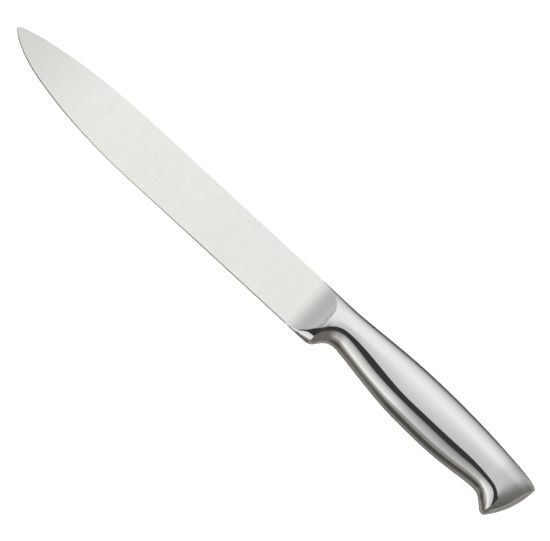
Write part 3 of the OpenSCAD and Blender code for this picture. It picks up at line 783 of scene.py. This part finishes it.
# %% Floor under the two points that carry the knife
HANDLE_FROM, TIP_TO = 0.05, -0.15
HALF_FLOOR, HAIR = 3.0, 2e-5
skin = np.concatenate([np.array([v.co for v in piece.data.vertices]) for piece, *_ in STANDS_FOR])
handle_skin, tip_skin = skin[skin[:, 0] > HANDLE_FROM], skin[skin[:, 0] < TIP_TO]
slope = 0.03
for _ in range(4):
    rest, touch = (p[np.argmin(p[:, 2] + slope * p[:, 0])] for p in (handle_skin, tip_skin))
    slope = (touch[2] - rest[2]) / (rest[0] - touch[0])
floor_height = rest[2] + slope * rest[0] - HAIR
corners = [(x * HALF_FLOOR, y * HALF_FLOOR, floor_height - slope * x * HALF_FLOOR)
           for x, y in ((-1, -1), (1, -1), (1, 1), (-1, 1))]
floor_mesh = bpy.data.meshes.new("floor")
floor_mesh.from_pydata(corners, [], [(0, 1, 2, 3)])
floor = bpy.data.objects.new("floor", floor_mesh)
bpy.context.collection.objects.link(floor)
print("floor tips by", round(math.degrees(math.atan(slope)), 2), "degrees")

# %% Pale paint, open to what the steel reflects
paint = bpy.data.materials.new("pale_floor")
paint.use_nodes = True
tree = paint.node_tree
tree.nodes.remove(tree.nodes["Principled BSDF"])
start = Field(tree, None)
matt = start.node("ShaderNodeBsdfDiffuse", {}, {"Color": (0.93, 0.93, 0.92, 1)})
open_below = start.node("ShaderNodeBsdfTransparent")
seen_by_steel = start.node("ShaderNodeLightPath", out="Is Glossy Ray")
blend = start.node("ShaderNodeMixShader", {}, {0: seen_by_steel, 1: matt, 2: open_below})
tree.links.new(blend.socket, tree.nodes["Material Output"].inputs["Surface"])
floor_mesh.materials.append(paint)
print("floor paint:", paint.name)

# %% How bright the studio is, as the steel sees it
# [degrees from straight up towards the belly, brightness]
STUDIO = [(-130, 0.12), (-120, 0.35), (-113, 0.55), (-98, 0.69), (-83, 0.8), (-60, 0.95), (-30, 1.09),
          (-3, 1.12), (3, 1.05), (6, 0.95), (14, 0.83), (20, 0.74), (31, 0.64), (33, 0.045), (42, 0.045),
          (45.5, 0.42), (47.3, 0.57), (49, 0.7), (51, 0.82), (54, 0.94), (56.5, 1.05), (58.9, 1.08),
          (60.6, 0.45), (62.8, 0.4), (64.2, 0.45), (66.3, 0.41), (68, 0.085), (82, 0.08), (87, 0.125),
          (91, 0.19), (97, 0.265), (120, 0.23)]
# [the same angle, how much brighter] for what stands a little towards the tip
TIPWARD = [(57, 1), (59, 1.05), (60.5, 1.6), (62, 1.3), (64, 0.8), (66.5, 0.8), (69, 1.7), (80, 2),
           (86, 1.7), (92, 1.3), (100, 1.1), (110, 1.05)]
# [how far towards the tip, brightness] of all but the belly panel
FADING = [(0, 1), (0.1, 0.97), (0.21, 0.85), (0.42, 0.65), (0.61, 0.555), (0.8, 0.515), (0.9, 0.55),
          (0.96, 0.6), (1, 0.78)]
print("stops of the studio:", len(STUDIO), "of the two smaller tables:", len(TIPWARD), len(FADING))

# %% Where the studio changes, along the knife and around it
# degrees by which the panels hang askew towards the tip
PANEL_TWIST = 15.0
# in degrees: where each begins, is full, is full to the last, and ends
BELLY_PANEL, DARK_GAP = (42.0, 46.0, 62.0, 68.0), (24.0, 30.0, 42.0, 52.0)
CROWN, PAST_SPINE = (-128.0, -112.0, -60.0, -25.0), (-150.0, -138.0, -108.0, -94.0)
LOW_SIDE = (66.0, 76.0, 95.0, 110.0)
# in degrees: where each begins and is full
OVERHEAD_END, BEHIND_PANEL, BEYOND_PANEL, HORIZON = (30.0, 44.0), (38.0, 50.0), (60.0, 80.0), (85.0, 100.0)
# the same along the knife, as the part of the direction that points to the tip or to the butt
TIP_NEAR, TIP_A_LITTLE, TIP_FAR, TIP_AHEAD = (0.02, 0.15), (0.03, 0.13, 0.17, 0.25), (0.4, 0.52), (0.75, 0.9)
BUTT_NEAR, TENT_EDGE, TENT_EDGE_BEHIND = (0.12, 0.2), (0.13, 0.35), (0.12, 0.52)
CROWN_GAIN, LOW_GAIN, AHEAD_LOSS = 0.3, 0.8, 0.8
# brightness of the belly panel at the knife's middle, how fast it falls towards the butt, and how far
PANEL_MIDDLE, PANEL_FALL, PANEL_LEAST = 0.83, 3.2, 0.6
# how the edge of the tent leans: angles between which it does, by how much a degree, and a step back
LEAN_FROM, LEAN_TO, LEAN_RATE, LEAN_STEP, STEP_AT = -30.0, 13.0, 0.0045, 0.09, (13.0, 20.0)
TENT_AT_BUTT, ROOM, ROOM_FLOOR = (0.6, 0.6, 0.59), (0.18, 0.167, 0.15), (0.36, 0.345, 0.32)
ROOM_GAP = (0.045, 0.045, 0.045)
print("belly panel in degrees:", BELLY_PANEL, "dark gap:", DARK_GAP)


# %% The dome's light
def grey(_, value):
    return (value, value, value)


def warmth(angle, value):
    """White above, and a little brown where the room shows."""
    brown = 0.0 if angle < 60 else 0.05
    return (value * (1 + brown), value, value * (1 - 1.6 * brown))


def ramp(place, table, colour=grey):
    """The table's brightness at a place along it."""
    first, span = table[0][0], table[-1][0] - table[0][0]
    stops = [((p - first) / span, colour(p, v)) for p, v in table]
    return place.node("ShaderNodeValToRGB", {"stops": stops}, {0: (place - first) / span})


light = bpy.data.materials.new("studio_light")
light.use_nodes = True
tree = light.node_tree
tree.nodes.remove(tree.nodes["Principled BSDF"])
start = Field(tree, None)
coords = start.node("ShaderNodeTexCoord", out="Object")
dx, dy, dz = start.node("ShaderNodeVectorMath", {"operation": "NORMALIZE"}, {0: coords}).axes()
tipwards = dx * -1.0
# the panels hang a little askew, so their edges move with the distance towards the tip
angle = dx.maths("ARCTAN2", dy * -1.0, dz) * (180 / math.pi) + dx.least(0.0) * PANEL_TWIST
belt = ramp(angle, STUDIO, warmth)
# the belly panel dims towards the butt, and the tent overhead dims towards the tip
on_panel = angle.between(*BELLY_PANEL)
panel = (PANEL_MIDDLE - dx * PANEL_FALL).least(1.0).most(PANEL_LEAST)
overhead = 1.0 - (1.0 - ramp(tipwards, FADING)) * (1.0 - angle.fade(*OVERHEAD_END))
# straight ahead of the tip it is darker beyond the belly panel
ahead = 1.0 - tipwards.fade(*TIP_AHEAD) * angle.fade(*BEYOND_PANEL) * AHEAD_LOSS
# brighter: beyond the panel a little towards the tip, past the spine, and low down far towards the tip
beyond = (ramp(angle, TIPWARD) - 1.0) * tipwards.between(*TIP_A_LITTLE) + 1.0
crown = tipwards.fade(*TIP_NEAR) * angle.between(*CROWN) * CROWN_GAIN + 1.0
low_side = tipwards.fade(*TIP_FAR) * angle.between(*LOW_SIDE) * LOW_GAIN + 1.0
level = (on_panel * panel + (1.0 - on_panel) * overhead) * ahead * beyond * crown * low_side
tent = start.node("ShaderNodeVectorMath", {"operation": "SCALE"}, {0: belt, "Scale": level})
# past the spine, the tent hangs lower at the butt
tent = colour_mix(dx.fade(*BUTT_NEAR) * angle.between(*PAST_SPINE), tent, TENT_AT_BUTT)
# beyond the butt there is no tent: a brown room with the dark gap in it, and a paler floor below
room = colour_mix(angle.maths("ABSOLUTE", angle).fade(*HORIZON), ROOM, ROOM_FLOOR)
room = colour_mix(angle.between(*DARK_GAP), room, ROOM_GAP)
# the edge of the tent leans with the angle, and stands further back behind the belly panel
lean = angle.most(LEAN_FROM).least(LEAN_TO) * LEAN_RATE - angle.fade(*STEP_AT) * LEAN_STEP
behind = angle.fade(*BEHIND_PANEL)
edge = (dx + lean).fade(*TENT_EDGE) * (1.0 - behind) + dx.fade(*TENT_EDGE_BEHIND) * behind
glow = start.node("ShaderNodeEmission", {}, {"Color": colour_mix(edge, tent, room), "Strength": 1.0})
tree.links.new(glow.socket, tree.nodes["Material Output"].inputs["Surface"])
print("nodes in the dome's light:", len(tree.nodes))

# %% The dome, seen by reflections only, and a bright world for the floor
DOME_RADIUS, WORLD_STRENGTH = 8.0, 2.5
bpy.ops.mesh.primitive_uv_sphere_add(segments=64, ring_count=32, radius=DOME_RADIUS)
dome = bpy.context.object
dome.name = "studio_dome"
dome.data.materials.append(light)
dome.visible_camera = dome.visible_diffuse = dome.visible_shadow = dome.visible_transmission = False

world = bpy.data.worlds.new("studio")
bpy.context.scene.world = world
world.use_nodes = True
world.node_tree.nodes["Background"].inputs["Color"].default_value = (1, 1, 1, 1)
world.node_tree.nodes["Background"].inputs["Strength"].default_value = WORLD_STRENGTH
bpy.context.scene.view_settings.view_transform = "Standard"
print("dome radius in m:", DOME_RADIUS)

# %% [markdown]
# ## The camera
# The photograph looks almost straight down on the side of the knife, with the tip at the upper left.
# A long lens keeps the shape free of perspective.

# %% Camera
LENS_DISTANCE, VIEW_WIDE, VIEW_TURN = 2.5, 0.26262, 43.0
LOOKS_AT = (0.00328, 0.00164, 0.0115)
camera_data = bpy.data.cameras.new("camera")
camera = bpy.data.objects.new("camera", camera_data)
bpy.context.collection.objects.link(camera)
camera_data.sensor_width = 36.0
camera_data.lens = camera_data.sensor_width * LENS_DISTANCE / VIEW_WIDE
camera.location = (LOOKS_AT[0], LOOKS_AT[1], LOOKS_AT[2] + LENS_DISTANCE)
camera.rotation_euler = (0, 0, math.radians(VIEW_TURN))
camera_data.clip_end = 20.0
bpy.context.scene.camera = camera
print("lens in mm:", round(camera_data.lens, 1))

# %% Update the scene
bpy.context.view_layer.update()
